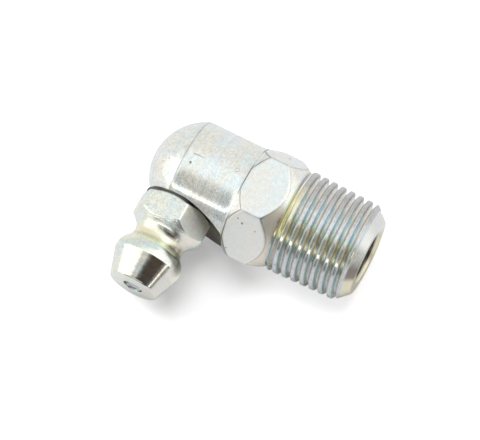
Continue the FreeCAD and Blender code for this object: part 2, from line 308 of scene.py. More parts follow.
insert = {
    "shankRise": 1.7, "shankRadius": 3.0, "shankChamfer": 0.2,
    "collarRise": 3.63, "collarTop": 3.8, "collarRadius": 3.3,
    "hexAcross": 6.4, "hexTop": 6.5, "hexTurn": 22.0,     # from +Z towards +X
    "baseSlope": 0.62, "shoulderRadius": 2.95,
    "neckRadius": 2.45, "neckRise": 7.55, "neckBend": 1.35, "neckRun": 0.5,
    "headRadius": 3.27, "headStart": 9.45, "headLand": 0.3, "backBend": 1.45, "backRun": 1.0,
    "tipRadius": 2.39, "tipEdge": 0.12,
    "inletRadius": 0.93, "inletDepth": 0.45, "chamberRadius": 1.35,
    "lipRadius": 0.75, "lipEnd": 2.2,
    "flatEase": 0.10, "edgeEase": 0.08, "perSide": 32, "crowding": 0.65, "hexRings": 44,
}


def buildInsert():
    i = insert
    # angles run from +Z towards -X, against the way that the hexagon's turn is measured
    first = -math.radians(i["hexTurn"])
    angles = cornerAngles(first, i["perSide"], i["crowding"])
    shank = easedOutline([
        (i["shankRise"], i["lipRadius"]), (i["shankRise"], i["shankRadius"] - i["shankChamfer"]),
        (i["shankRise"] + i["shankChamfer"], i["shankRadius"]), (i["collarRise"], i["shankRadius"]),
        (i["collarRise"], i["collarRadius"]), (i["collarTop"], i["collarRadius"]),
    ], step=0.25)

    # hexagon: the nearest of its flats and of the cones below and above
    hexRise = np.linspace(i["collarTop"], i["hexTop"], i["hexRings"])
    rise = hexRise[:, None]
    flats = hexagonRadius(angles, first, i["hexAcross"], i["flatEase"])
    cones = softMin(i["collarRadius"] + (rise - i["collarTop"]) / i["baseSlope"],
                    i["shoulderRadius"] + (i["hexTop"] - rise), i["edgeEase"])
    hexRadius = softMin(flats, cones, i["edgeEase"])

    # neck and head: two arcs, a straight run, the rounded back of the head, its land and cone
    step = 0.07
    swellRadius = i["neckRadius"] + i["neckBend"] - math.sqrt(i["neckBend"] ** 2 - i["neckRun"] ** 2)
    backRadius = i["headRadius"] - i["backBend"] + math.sqrt(i["backBend"] ** 2 - i["backRun"] ** 2)
    neckEnd = (i["neckRise"] + i["neckRun"], swellRadius)
    backStart = (i["headStart"] - i["backRun"], backRadius)
    neck = np.vstack([
        arcPoints((i["hexTop"], i["shoulderRadius"]), (i["neckRise"], i["neckRadius"]),
                  i["neckBend"], 1, step)[1:],
        arcPoints((i["neckRise"], i["neckRadius"]), neckEnd, i["neckBend"], 1, step),
        linePoints(neckEnd, backStart, step),
        arcPoints(backStart, (i["headStart"], i["headRadius"]), i["backBend"], -1, step),
    ])
    seatStart = tipRise - i["inletDepth"]
    seatEnd = seatStart - (i["chamberRadius"] - i["inletRadius"])
    head = easedOutline([
        (i["headStart"], i["headRadius"]), (i["headStart"] + i["headLand"], i["headRadius"], 0.06),
        (tipRise - i["tipEdge"], i["tipRadius"], 0.05), (tipRise, i["tipRadius"] - i["tipEdge"], 0.05),
        (tipRise, i["inletRadius"], 0.03), (seatStart, i["inletRadius"]),
        (seatEnd, i["chamberRadius"]), (i["lipEnd"], i["chamberRadius"]),
        (i["lipEnd"], i["lipRadius"]), (i["shankRise"], i["lipRadius"]),
    ], step=0.12)
    piece = roundMesh("insert_shell", [shank, (hexRise, hexRadius), neck, head], angles,
                      (crossX, 0, 0), (0, -1, 0), (0, 0, 1), loop=True)
    finishShading(piece, edgeAngle=28)
    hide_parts("nipple_insert")
    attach(piece, "fitting")
    print("insert:", len(piece.data.polygons), "faces")
    return piece


# Valve: the ball, and the round-wired spring behind it

ball = {"rings": 47, "perRing": 96}
spring = {"wireRadius": 0.15, "coilRadius": 0.95, "turns": 6, "perTurn": 56, "sides": 14}


def buildBall():
    # sphere: rings at polar angles from the inner pole, -radius * cos(polar) along the nipple
    radius = (ballHigh.x - ballLow.x) / 2 / mm
    polar = np.linspace(0, np.pi, ball["rings"] + 2)[1:-1]
    around = np.linspace(0, 2 * np.pi, ball["perRing"] + 1)[:-1]
    piece = roundMesh("valve_ball", [radius * np.stack([-np.cos(polar), np.sin(polar)], 1)], around,
                      (ballLow + ballHigh) / 2 / mm, (0, -1, 0), (0, 0, 1), poles=(-radius, radius))
    finishShading(piece, edgeAngle=60)
    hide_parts("check_ball")
    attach(piece, "ball")
    print("ball:", len(piece.data.polygons), "faces")
    return piece


def buildSpring():
    # tube round a helix: middle(t) = coilRadius * (cos, sin)(turn) beside the nipple's axis,
    # and each ring lies across the helix's own direction; both ends are closed by a fan
    s = spring
    low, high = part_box("check_spring")
    start = -high.y / mm + s["wireRadius"]
    end = -low.y / mm - s["wireRadius"]
    turn = np.linspace(0, 2 * np.pi * s["turns"], s["turns"] * s["perTurn"] + 1)
    rise = start + (end - start) * turn / turn[-1]
    outward = np.stack([np.cos(turn), np.zeros_like(turn), np.sin(turn)], 1)
    middle = s["coilRadius"] * outward + np.stack([np.full_like(turn, crossX), -rise,
                                                   np.zeros_like(turn)], 1)
    climb = (end - start) / turn[-1]
    way = np.stack([-s["coilRadius"] * np.sin(turn), np.full_like(turn, -climb),
                    s["coilRadius"] * np.cos(turn)], 1)
    way /= np.linalg.norm(way, axis=1, keepdims=True)
    across = np.cross(way, outward)
    around = np.linspace(0, 2 * np.pi, s["sides"] + 1)[:-1, None]
    points = middle[:, None] + s["wireRadius"] * (outward[:, None] * np.cos(around)
                                                  + across[:, None] * np.sin(around))
    piece = ringMesh("valve_spring", points, middle[[0, -1]])
    finishShading(piece, edgeAngle=50)
    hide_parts("check_spring")
    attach(piece, "fitting")
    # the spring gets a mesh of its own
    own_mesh(piece)
    print("spring:", len(piece.data.polygons), "faces")
    return piece


# Materials

def addNode(kind, inputs, **settings):
    # goes into the node tree that its inputs come from
    tree = next(value.id_data for value in inputs.values() if isinstance(value, bpy.types.NodeSocket))
    node = tree.nodes.new(kind)
    for name, value in settings.items():
        setattr(node, name, value)
    for socket, value in inputs.items():
        if isinstance(value, bpy.types.NodeSocket):
            tree.links.new(value, node.inputs[socket])
        else:
            node.inputs[socket].default_value = value
    return node


def useGroup(group, inputs):
    return addNode("ShaderNodeGroup", inputs, node_tree=group).outputs


def calc(operation, *values):
    # a sum, a product, a highest or a lowest may have more than two values
    if len(values) > 2:
        values = calc(operation, *values[:-1]), values[-1]
    return addNode("ShaderNodeMath", dict(enumerate(values)), operation=operation).outputs[0]


def plus(*values):
    return calc("ADD", *values)


def minus(first, second):
    return calc("SUBTRACT", first, second)


def times(*values):
    return calc("MULTIPLY", *values)


def highest(*values):
    return calc("MAXIMUM", *values)


def gapTo(value, place):
    return calc("ABSOLUTE", minus(value, place))


def swing(noise, share):
    # a noise's value about nought, times the share
    return times(minus(noise, 0.5), share)


def axisDistance(first, second):
    return calc("SQRT", plus(times(first, first), times(second, second)))


def flatDistances(first, second, turn):
    # distances from a hexagon's axis along its three directions, at 30, 90 and 150 degrees past turn
    distances = []
    for flat in (30, 90, 150):
        a = math.radians(turn + flat)
        way = plus(times(first, math.cos(a)), times(second, math.sin(a)))
        distances.append(calc("ABSOLUTE", way))
    return distances


def ease(value, low, high, first=0.0, last=1.0):
    # goes smoothly from first to last while the value goes from low to high
    node = addNode("ShaderNodeMapRange", {0: value, 1: low, 2: high, 3: first, 4: last},
                   interpolation_type="SMOOTHSTEP")
    return node.outputs[0]


def fade(value, low, high):
    return ease(value, low, high, 1.0, 0.0)


def band(value, low, high, fallLow, fallHigh, share=1.0):
    # rises from nought to the share, and falls to nought again
    return times(ease(value, low, high), ease(value, fallLow, fallHigh, share, 0.0))


def softBand(value, low, high, soft, share=1.0):
    return band(value, low - soft, low + soft, high - soft, high + soft, share)


def blendValues(share, first, second):
    node = addNode("ShaderNodeMix", {0: share, 2: first, 3: second}, data_type="FLOAT")
    return node.outputs[0]


def blendColours(share, first, second, kind="MIX"):
    node = addNode("ShaderNodeMix", {0: share, 6: first, 7: second}, data_type="RGBA",
                   blend_type=kind)
    return node.outputs[2]


def tintColour(colour, tint):
    return blendColours(1.0, colour, tint, "MULTIPLY")


def shadeColour(colour, value):
    # the colour times a value
    grey = addNode("ShaderNodeCombineXYZ", {0: value, 1: value, 2: value}).outputs[0]
    return tintColour(colour, grey)


def cloudNoise(place, scale, detail=2.0, rough=0.5):
    node = addNode("ShaderNodeTexNoise",
                   {"Vector": place, "Scale": scale, "Detail": detail, "Roughness": rough})
    return node.outputs[0]


def newGroup(name, inputs, outputs):
    # inputs are name: (socket type, default), outputs are name: socket type
    group = bpy.data.node_groups.new(name, "ShaderNodeTree")
    for label, (kind, value) in inputs.items():
        socket = group.interface.new_socket(label, in_out="INPUT", socket_type="NodeSocket" + kind)
        socket.default_value = value
    for label, kind in outputs.items():
        group.interface.new_socket(label, in_out="OUTPUT", socket_type="NodeSocket" + kind)
    return group, group.nodes.new("NodeGroupInput").outputs, group.nodes.new("NodeGroupOutput").inputs


def buildZincCloud():
    # uneven zinc: wide cool and warm clouds, patches about half a millimetre wide, and grain.
    # Grain is 0 or 1 in spots finer than a pixel, which share a satin and a bright finish
    tree, given, made = newGroup("zinc_cloud", {
        "Place": ("Vector", (0, 0, 0)), "Cool": ("Color", (1, 1, 1, 1)), "Warm": ("Color", (1, 1, 1, 1)),
        "Depth": ("Float", 1.0),
    }, {"Colour": "Color", "Patch": "Float", "Grain": "Float"})
    wide = cloudNoise(given["Place"], 0.42)
    patch = cloudNoise(given["Place"], 2.6, 6.0, 0.7)
    fine = cloudNoise(given["Place"], 9.0, 2.0, 0.6)
    spots = cloudNoise(given["Place"], 26.0, 0.0)
    tint = blendColours(ease(wide, 0.42, 0.58), given["Warm"], given["Cool"])
    uneven = plus(swing(patch, 0.55), swing(fine, 0.5))
    value = plus(times(uneven, given["Depth"]), 1.0)
    tree.links.new(shadeColour(tint, value), made["Colour"])
    tree.links.new(patch, made["Patch"])
    tree.links.new(ease(spots, 0.46, 0.54), made["Grain"])
    return tree


def buildLatheRings():
    # tool marks round an axis: noise along it only, in two widths, from -1 to 1 about
    tree, given, made = newGroup("lathe_rings", {"Along": ("Float", 0.0), "Spacing": ("Float", 0.1)},
                                 {"Ring": "Float"})
    rings = []
    for width, weight in ((1.0, 2.4), (4.3, 1.6)):
        w = calc("DIVIDE", given["Along"], times(given["Spacing"], width))
        node = addNode("ShaderNodeTexNoise", {"W": w, "Scale": 1.0, "Detail": 1.0},
                       noise_dimensions="1D")
        rings.append(swing(node.outputs[0], weight))
    tree.links.new(plus(*rings), made["Ring"])
    return tree


def buildPassivation():
    # colours of a thin chromate film, which repeat as its thickness grows by 1, mixed in by a strength
    tree, given, made = newGroup("passivation_film", {
        "Thickness": ("Float", 0.0), "Strength": ("Float", 0.5)}, {"Colour": "Color"})
    ramp = tree.nodes.new("ShaderNodeValToRGB")
    stops = ((0.0, (0.92, 0.92, 0.90)), (0.16, (0.98, 0.93, 0.62)), (0.28, (0.98, 0.84, 0.54)),
             (0.40, (0.86, 0.60, 0.72)), (0.52, (0.66, 0.74, 0.93)), (0.64, (0.52, 0.86, 0.97)),
             (0.76, (0.55, 0.90, 0.78)), (0.88, (0.90, 0.93, 0.62)), (1.0, (0.92, 0.92, 0.90)))
    elements = ramp.color_ramp.elements
    elements[0].position, elements[0].color = stops[0][0], (*stops[0][1], 1)
    elements[1].position, elements[1].color = stops[-1][0], (*stops[-1][1], 1)
    for position, colour in stops[1:-1]:
        elements.new(position).color = (*colour, 1)
    tree.links.new(calc("FRACT", given["Thickness"]), ramp.inputs[0])
    tree.links.new(blendColours(given["Strength"], (1, 1, 1, 1), ramp.outputs[0]), made["Colour"])
    return tree


def buildPitMark():
    # 1 inside a small round mark, falling to 0 over its rim
    tree, given, made = newGroup("pit_mark", {
        "Place": ("Vector", (0, 0, 0)), "Middle": ("Vector", (0, 0, 0)), "Radius": ("Float", 0.1),
    }, {"Inside": "Float", "Away": "Float"})
    gap = addNode("ShaderNodeVectorMath", {0: given["Place"], 1: given["Middle"]},
                  operation="DISTANCE").outputs["Value"]
    away = calc("DIVIDE", gap, given["Radius"])
    tree.links.new(fade(away, 0.6, 1.3), made["Inside"])
    tree.links.new(away, made["Away"])
    return tree


def buildStainSpecks():
    # rare dark specks, each in a cell of its own size
    tree, given, made = newGroup("stain_specks", {
        "Place": ("Vector", (0, 0, 0)), "Amount": ("Float", 0.1)}, {"Mask": "Float"})
    cells = addNode("ShaderNodeTexVoronoi", {"Vector": given["Place"], "Scale": 1.9})
    chance = addNode("ShaderNodeSeparateColor", {0: cells.outputs["Color"]}).outputs
    chosen = calc("LESS_THAN", chance[0], given["Amount"])
    reach = plus(times(chance[1], 0.09), 0.05)
    near = fade(calc("DIVIDE", cells.outputs["Distance"], reach), 0.5, 1.2)
    tree.links.new(times(chosen, near), made["Mask"])
    return tree


zincCloud = buildZincCloud()
latheRings = buildLatheRings()
passivation = buildPassivation()
pitMark = buildPitMark()
stainSpecks = buildStainSpecks()


def newMaterial(name):
    # returns the material, its shader, and the place in millimetres from the axes' crossing
    material = bpy.data.materials.new(name)
    material.use_nodes = True
    tree = material.node_tree
    own = tree.nodes.new("ShaderNodeTexCoord").outputs["Object"]
    scaled = addNode("ShaderNodeVectorMath", {0: own, "Scale": 1 / mm}, operation="SCALE")
    place = addNode("ShaderNodeVectorMath", {0: scaled.outputs[0], 1: (-crossX, 0, 0)},
                    operation="ADD").outputs[0]
    return material, tree.nodes["Principled BSDF"], place


def finishMetal(shader, colour, roughness, height, depth):
    # depth is the bump's height in millimetres
    bump = addNode("ShaderNodeBump", {"Strength": 1.0, "Distance": depth * mm, "Height": height})
    shader.inputs["Metallic"].default_value = 1
    for socket, value in (("Base Color", colour), ("Roughness", roughness), ("Normal", bump.outputs[0])):
        shader.id_data.links.new(value, shader.inputs[socket])


# angles round the thread, called front, are in radians from the nipple's side up over the top
elbowFinish = {
    "cool": (0.86, 0.92, 0.932, 1), "warm": (0.90, 0.90, 0.865, 1),
    "cloudDepth": (1.4, 0.95),                                 # on the dome and elsewhere
    "domeTint": (1.0, 0.985, 0.96, 1), "filmStrength": 0.04,
    "satin": 0.5, "bright": 0.11, "domeBright": 0.2,           # roughness of the grain's two kinds
    "ringSpacing": 0.09, "ringShine": 0.08, "ringDepth": 0.35,
    "patchDepth": (0.55, 0.25), "markDepth": 2.0, "bumpDepth": 0.012,     # patches off and on the thread
    # hexagon
    # the low flats at the front get a pale colour, a painted reflection of the floor
    "flatRough": 0.44, "innerChamfer": 0.93, "lowFlatReflection": (1.0, 0.99, 0.955, 1), "lowFlatReflectionShare": 0.6,
    # the outer chamfer's brown is a painted reflection of the dark room in front, stronger at the front than
    # above
    "outerChamferReflection": (0.86, 0.79, 0.66, 1), "outerReflectionShares": (0.7, 0.15),    # at the front and above
    "outerRough": 0.52,
    # thread, and the chamfer at its end
    "lineRough": 0.11, "crestRough": 0.4, "flankRough": 0.24, "chamferRough": 0.22,
    "thread": (0.68, 0.69, 0.685, 1), "flank": (0.96, 0.97, 0.96, 1), "crestPatch": (0.88, 1.14),
    # the groove colour is painted shade for the thread's root
    "crestEdge": (0.22, 0.21, 0.19, 1), "groove": (0.16, 0.15, 0.12, 1), "gold": (0.93, 0.88, 0.58, 1),
    # the end chamfer's own colour, then its painted reflections: brown, and gold lower down
    "end": (0.82, 0.82, 0.80, 1), "endBrownReflection": (0.30, 0.26, 0.23, 1), "endGoldReflection": (0.84, 0.79, 0.60, 1),
    # the film's thickness changes at these angles: low, high, then what it adds below and above
    "filmSteps": ((1.75, 2.05, 0.52, 0.4), (1.2, 1.4, 0.52, 0.0), (0.7, 0.84, -0.5, 0.0)),
    "filmDrift": 0.35, "filmWave": 0.7, "filmGroove": 0.34, "flankFilm": 0.5, "crestFilm": 0.26,
    "overTop": (1.7, 2.1),      # where the top turns to the back
    "streakEdge": 0.08,
    # streaks of film on the flank towards the end: low and high angle, strength and colour
    "streaks": (
        (1.32, 1.95, 0.7, (0.56, 0.86, 0.95, 1)),
        (0.78, 1.3, 0.6, (1.0, 0.90, 0.50, 1)),
        (-0.2, 0.76, 0.6, (0.55, 0.80, 0.80, 1)),
        (1.97, 2.8, 0.35, (0.90, 0.80, 0.86, 1)),
    ),
    # dark lines, and painted shade in the outlet bore and on the seat under the insert
    "seam": (0.045, 0.038, 0.03, 1), "seamWidth": 0.085, "seamStrength": 0.78,
    "innerLine": 0.55, "outerLine": 0.22, "cornerLine": 0.22, "domeLine": 0.3, "boreShadeStrength": 0.6,
    # painted shade on the seat under the insert: its colour, strength and share
    "seat": (0.30, 0.265, 0.22, 1), "seatShadeStrength": 0.96, "seatShadeShare": 0.6,
    # marks: pits and dent by middle and radius, and the scratch by its two ends
    "stain": (0.16, 0.14, 0.11, 1), "specks": 0.12, "pitShare": 0.85, "scratchShare": 0.45,
    "pits": ((-0.05, -0.91, 4.87, 0.11), (4.16, -3.8, 3.18, 0.09), (7.21, 4.63, 1.98, 0.14),
             (6.6, -3.6, 3.78, 0.11), (6.1, -3.42, 4.08, 0.08), (-2.6, -1.5, 3.61, 0.06)),
    "ringDent": (4.01, 0.36, 4.94, 0.24),
    "scratch": ((-0.27, -0.02), (0.92, 0.05)), "scratchWidth": 0.05,
}


def threadFinish(place, x, y, z, front, patch):
    # colour and roughness of the thread and the chamfer at its end.
    # wave is the share of a turn from the nearest crest, positive towards the end,
    # and down is how far down the groove a point lies, from 0 on the crest to 1
    f = elbowFinish
    turns = minus(calc("DIVIDE", x, elbow["pitch"]), calc("DIVIDE", calc("ARCTAN2", z, y), 2 * math.pi))
    wave = minus(calc("FRACT", plus(turns, 0.5 - elbow["threadStart"])), 0.5)
    down = times(calc("ABSOLUTE", wave), 2.0)
    onFlank = ease(down, 0.58, 0.76)

    # plain metal on the crests, uneven in tone and with painted light and shade: a little lighter in front
    # and darker where the top turns to the back, a lighter flank, and the film over both
    toneAndShade = times(ease(patch, 0.3, 0.7, *f["crestPatch"]), ease(front, *f["overTop"], 1.04, 0.85))
    colour = blendColours(onFlank, shadeColour(f["thread"], toneAndShade), f["flank"])
    steps = [ease(front, *step) for step in f["filmSteps"]]
    thickness = plus(*steps, swing(cloudNoise(place, 0.5), f["filmDrift"]),
                     times(wave, f["filmWave"]), ease(down, 0.6, 1.0, 0.0, f["filmGroove"]))
    strength = times(plus(times(onFlank, f["flankFilm"]), f["crestFilm"]), ease(front, 1.8, 2.1, 1.0, 0.4))
    film = useGroup(passivation, {"Thickness": thickness, "Strength": strength})["Colour"]
    colour = tintColour(colour, film)
    streak = times(band(wave, 0.16, 0.24, 0.38, 0.46),
                   ease(cloudNoise(place, 1.3, 1.0), 0.35, 0.6, 0.45, 1.0))
    for low, high, share, tint in f["streaks"]:
        zone = softBand(front, low, high, f["streakEdge"], share)
        colour = blendColours(times(zone, streak), colour, tint)

    # dark line below each crest, painted shade in the thread's root that is stronger at the front, and gold
    # beside the hexagon
    crestEdge = ease(gapTo(down, 0.56), 0.0, 0.07, 0.4, 0.0)
    colour = blendColours(crestEdge, colour, f["crestEdge"])
    rootShade = times(ease(down, 0.8, 0.98), ease(front, 1.2, 1.5, 0.45, 0.1))
    colour = blendColours(rootShade, colour, f["groove"])
    nearHex = times(ease(x, elbow["hexEnd"] + 0.75, elbow["hexEnd"] + 1.15, 0.62, 0.0),
                    band(front, 0.7, 1.0, *f["overTop"]))
    colour = blendColours(nearHex, colour, f["gold"])

    # the end chamfer: its own colour, with a painted brown reflection on the nipple's side and a painted
    # gold one lower down
    atEnd = ease(x, bodyReach - 0.8, bodyReach - 0.6)
    endColourAndReflection = blendColours(fade(front, 0.8, 1.1), f["end"], f["endBrownReflection"])
    endColourAndReflection = blendColours(fade(front, 0.45, 0.65), endColourAndReflection, f["endGoldReflection"])
    colour = blendColours(atEnd, colour, endColourAndReflection)

    rough = blendValues(ease(down, 0.14, 0.26), f["lineRough"], f["crestRough"])
    rough = blendValues(onFlank, rough, f["flankRough"])
    return colour, blendValues(atEnd, rough, f["chamferRough"])


def elbowLines(x, y, z, across, largest, onThread):
    # strength of the dark lines and of the painted shade in the seat and the bore, and of the seat's painted
    # shade alone
    f = elbowFinish
    half, start = elbow["hexAcross"] / 2, elbow["hexStart"]
    offThread = minus(1.0, onThread)
    # where the hexagon starts, round its flats, along its corners, and at the dome's edge
    seam = times(ease(gapTo(x, start), 0.2 * f["seamWidth"], f["seamWidth"], f["seamStrength"], 0.0),
                 ease(largest, half - 0.35, half - 0.1, 0.18, 1.0))
    outline = times(band(largest, half - 0.17, half - 0.08, half - 0.06, half - 0.02),
                    ease(x, 6.4, 7.0, f["innerLine"], f["outerLine"]),
                    ease(x, start + 0.02, start + 0.15), offThread)
    second = highest(calc("MINIMUM", across[0], across[1]),
                     calc("MINIMUM", highest(across[0], across[1]), across[2]))
    corner = times(ease(second, half - 0.13, half - 0.05, 0.0, f["cornerLine"]), offThread)
    domeLine = ease(gapTo(x, -elbow["domeEdge"]), 0.02, 0.12, f["domeLine"], 0.0)

    # the conical seat rises by its slope from the land; painted shade darkens the seat under the insert, and
    # the bore near its wall
    aside = axisDistance(x, z)
    seatRise = plus(times(minus(aside, seat["landRadius"]), seat["slope"]), seat["collarRise"])
    fromSeat = plus(y, seatRise)
    paintedSeatShade = times(band(fromSeat, -0.06, -0.01, 0.01, 0.06),
                   ease(aside, seat["radius"] - 0.1, seat["radius"] + 0.05, f["seatShadeStrength"], 0.0))
    # painted shade in the outlet bore, near its wall
    paintedBoreShade = times(ease(axisDistance(y, z), elbow["boreRadius"] + 0.02,
                        elbow["boreRadius"] + 0.12, f["boreShadeStrength"], 0.0), onThread)
    return highest(seam, outline, corner, domeLine, paintedSeatShade, paintedBoreShade), paintedSeatShade


def elbowMarks(place, x, y, z):
    # strength of the pits and specks, and of the ring-shaped dent and the scratch
    f = elbowFinish
    marks = [useGroup(stainSpecks, {"Place": place, "Amount": f["specks"]})["Mask"]]
    for *middle, radius in f["pits"]:
        marks.append(useGroup(pitMark, {"Place": place, "Middle": middle, "Radius": radius})["Inside"])
    *middle, radius = f["ringDent"]
    dent = useGroup(pitMark, {"Place": place, "Middle": middle, "Radius": radius})
    ring = fade(gapTo(dent["Away"], 0.8), 0.0, 0.3)
    (startX, startY), (endX, endY) = f["scratch"]
    line = times(minus(x, startX), (endY - startY) / (endX - startX))
    off = gapTo(minus(y, startY), line)
    scratch = times(fade(off, 0.2 * f["scratchWidth"], 1.5 * f["scratchWidth"]),
                    band(x, startX - 0.1, startX + 0.2, endX - 0.3, endX + 0.1),
                    calc("GREATER_THAN", z, 0.0))
    return highest(*marks), highest(ring, scratch)


def elbowPlating():
    f = elbowFinish
    material, shader, place = newMaterial("elbow_plating")
    x, y, z = addNode("ShaderNodeSeparateXYZ", {0: place}).outputs
    front = calc("ARCTAN2", z, times(y, -1.0))
    domeEnd, half = -elbow["domeEdge"], elbow["hexAcross"] / 2
    cloud = useGroup(zincCloud, {
        "Place": place, "Cool": f["cool"], "Warm": f["warm"],
        "Depth": ease(x, domeEnd - 0.1, domeEnd, *f["cloudDepth"])})
    rings = useGroup(latheRings, {"Along": x, "Spacing": f["ringSpacing"]})["Ring"]

    # a flat is where the largest distance along the flats' directions is half the width
    across = flatDistances(y, z, 0)
    largest = highest(*across)
    onFlat = ease(largest, half - 0.06, half - 0.03)
    turned = minus(1.0, onFlat)
    onThread = ease(x, elbow["hexEnd"] - 0.25, elbow["hexEnd"] + 0.1)

    # dome, barrel and hexagon
    film = useGroup(passivation, {
        "Thickness": times(cloudNoise(place, 0.33, 1.0), 2.2),
        "Strength": f["filmStrength"]})["Colour"]
    body = tintColour(cloud["Colour"], film)
    body = blendColours(fade(x, 0.5, 1.5), body, tintColour(body, f["domeTint"]))
    body = shadeColour(body, plus(times(rings, turned, f["ringShine"]), 1.0))
    onInner = times(band(x, elbow["hexStart"], elbow["hexStart"] + 0.08, 6.2, 6.8), turned)
    body = shadeColour(body, ease(onInner, 0.0, 1.0, 1.0, f["innerChamfer"]))
    # painted brown reflection on the outer chamfer, stronger at the front than above
    outerReflection = times(ease(x, 8.0, 8.6), turned, ease(front, 1.25, 1.5, *f["outerReflectionShares"]))
    body = blendColours(outerReflection, body, f["outerChamferReflection"])
    # painted reflection of the floor: the low flats at the front are lighter
    lowFlatReflection = times(onFlat, ease(front, 0.95, 1.15, f["lowFlatReflectionShare"], 0.0))
    body = blendColours(lowFlatReflection, body, f["lowFlatReflection"])
    bright = ease(x, domeEnd - 0.3, domeEnd, f["domeBright"], f["bright"])
    satin = blendValues(cloud["Grain"], f["satin"], bright)
    rough = plus(times(onFlat, f["flatRough"]), times(turned, satin))

    # all of it, with the thread, the lines and the marks
    thread, threadRough = threadFinish(place, x, y, z, front, cloud["Patch"])
    colour = blendColours(onThread, body, thread)
    # the dark lines and the painted shade take the seam's colour, and the seat's painted shade is brownish
    lines, paintedSeatShade = elbowLines(x, y, z, across, largest, onThread)
    colour = blendColours(lines, colour, f["seam"])
    colour = blendColours(times(paintedSeatShade, f["seatShadeShare"]), colour, f["seat"])
    marks, dents = elbowMarks(place, x, y, z)
    colour = blendColours(times(marks, f["pitShare"]), colour, f["stain"])
    colour = blendColours(times(dents, f["scratchShare"]), colour, f["stain"])
    rough = blendValues(onThread, rough, threadRough)
    rough = blendValues(times(outerReflection, minus(1.0, onThread)), rough, f["outerRough"])
    rough = plus(rough, swing(cloud["Patch"], 0.25))
    height = plus(times(cloud["Patch"], ease(onThread, 0.0, 1.0, *f["patchDepth"])),
                  times(rings, turned, f["ringDepth"]))
    height = minus(height, times(highest(marks, dents), f["markDepth"]))
    finishMetal(shader, colour, rough, height, f["bumpDepth"])
    return material


insertFinish = {
    "cool": (0.85, 0.89, 0.875, 1), "warm": (0.94, 0.92, 0.84, 1),
    "flatRough": 0.48, "turnedRough": 0.11, "neckRough": 0.23,
    "ringSpacing": 0.07, "ringShine": 0.07, "ringRough": 0.05, "ringDepth": (0.55, 0.2),    # hexagon, head
    "patchDepth": 0.8, "bumpDepth": 0.008,
    "film": 0.12, "behindFilm": 0.22, "yellow": (0.97, 0.92, 0.68, 1), "yellowShare": 0.75,
    # the olive ring's colour and share, and the strength of the painted shadow line at the hexagon's base
    "olive": (0.36, 0.37, 0.14, 1), "oliveShare": 0.3, "baseShadeStrength": 0.9,
    "stain": (0.14, 0.12, 0.09, 1), "specks": 0.26, "speckShare": 0.6,
    # painted reflections, dark where the shaded floor is mirrored and pale elsewhere: middle, radius,
    # strength and colour
    "paintedReflectionSpots": (
        ((2.97, -9.0, 1.2), 1.0, 0.75, (0.36, 0.35, 0.30, 1)),
        ((2.7, -6.9, 1.2), 1.0, 0.8, (0.84, 0.76, 0.67, 1)),
        ((2.3, -11.2, 1.2), 1.3, 0.7, (0.78, 0.75, 0.68, 1)),
        ((2.52, -5.2, 1.97), 2.0, 0.4, (1.0, 0.97, 0.90, 1)),
    ),
}


def insertPlating():
    f = insertFinish
    material, shader, place = newMaterial("insert_plating")
    x, y, z = addNode("ShaderNodeSeparateXYZ", {0: place}).outputs
    rise = times(y, -1.0)
    rings = useGroup(latheRings, {"Along": rise, "Spacing": f["ringSpacing"]})["Ring"]
    half, hexTop = insert["hexAcross"] / 2, insert["hexTop"]
    neckRise, headStart = insert["neckRise"], insert["headStart"]
    largest = highest(*flatDistances(z, x, insert["hexTurn"]))
    onFlat = times(ease(largest, half - 0.05, half - 0.02), fade(rise, hexTop - 0.02, hexTop + 0.1))
    turned = minus(1.0, onFlat)
    cloud = useGroup(zincCloud, {"Place": place, "Cool": f["cool"], "Warm": f["warm"],
                                 "Depth": plus(times(onFlat, 0.9), 0.8)})

    # a golden film in the neck and behind the head, painted reflections, and an olive ring
    inNeck = band(rise, hexTop + 0.1, neckRise, neckRise + 0.4, headStart - 0.3)
    behind = band(rise, neckRise + 0.2, neckRise + 0.6, headStart, headStart + 0.25)
    film = useGroup(passivation, {
        "Thickness": times(cloudNoise(place, 0.6), 1.6),
        "Strength": plus(times(behind, f["behindFilm"]), f["film"])})["Colour"]
    colour = tintColour(cloud["Colour"], film)
    colour = blendColours(times(inNeck, f["yellowShare"]), colour, f["yellow"])
    # painted reflections of the floor on the head, the neck and a flat of the hexagon
    for middle, radius, strength, shade in f["paintedReflectionSpots"]:
        spot = useGroup(pitMark, {"Place": place, "Middle": middle, "Radius": radius})["Inside"]
        colour = blendColours(times(spot, strength), colour, shade)
    olive = band(rise, neckRise + 0.2, neckRise + 0.45, neckRise + 0.6, neckRise + 0.95, f["oliveShare"])
    colour = blendColours(olive, colour, f["olive"])
    colour = shadeColour(colour, plus(times(rings, turned, f["ringShine"]), 1.0))

    # painted shadow line where the hexagon's base meets the seat, and specks
    baseRise = plus(times(minus(axisDistance(x, z), insert["collarRadius"]),
                          insert["baseSlope"]), insert["collarTop"])
    paintedBaseShade = times(ease(minus(rise, baseRise), 0.02, 0.16, f["baseShadeStrength"], 0.0), fade(rise, 5.9, 6.0))
    colour = blendColours(paintedBaseShade, colour, elbowFinish["seam"])
    specks = useGroup(stainSpecks, {"Place": place, "Amount": f["specks"]})["Mask"]
    colour = blendColours(times(specks, f["speckShare"]), colour, f["stain"])

    turnedRough = ease(rise, headStart - 0.2, headStart + 0.3, f["neckRough"], f["turnedRough"])
    rough = plus(times(onFlat, f["flatRough"]), times(turned, turnedRough),
                 swing(cloud["Patch"], 0.2), times(calc("ABSOLUTE", rings), f["ringRough"]))
    ringDepth = times(turned, ease(rise, 7.3, 8.0, *f["ringDepth"]))
    height = plus(times(cloud["Patch"], f["patchDepth"]), times(rings, ringDepth))
    finishMetal(shader, colour, rough, height, f["bumpDepth"])
    return material


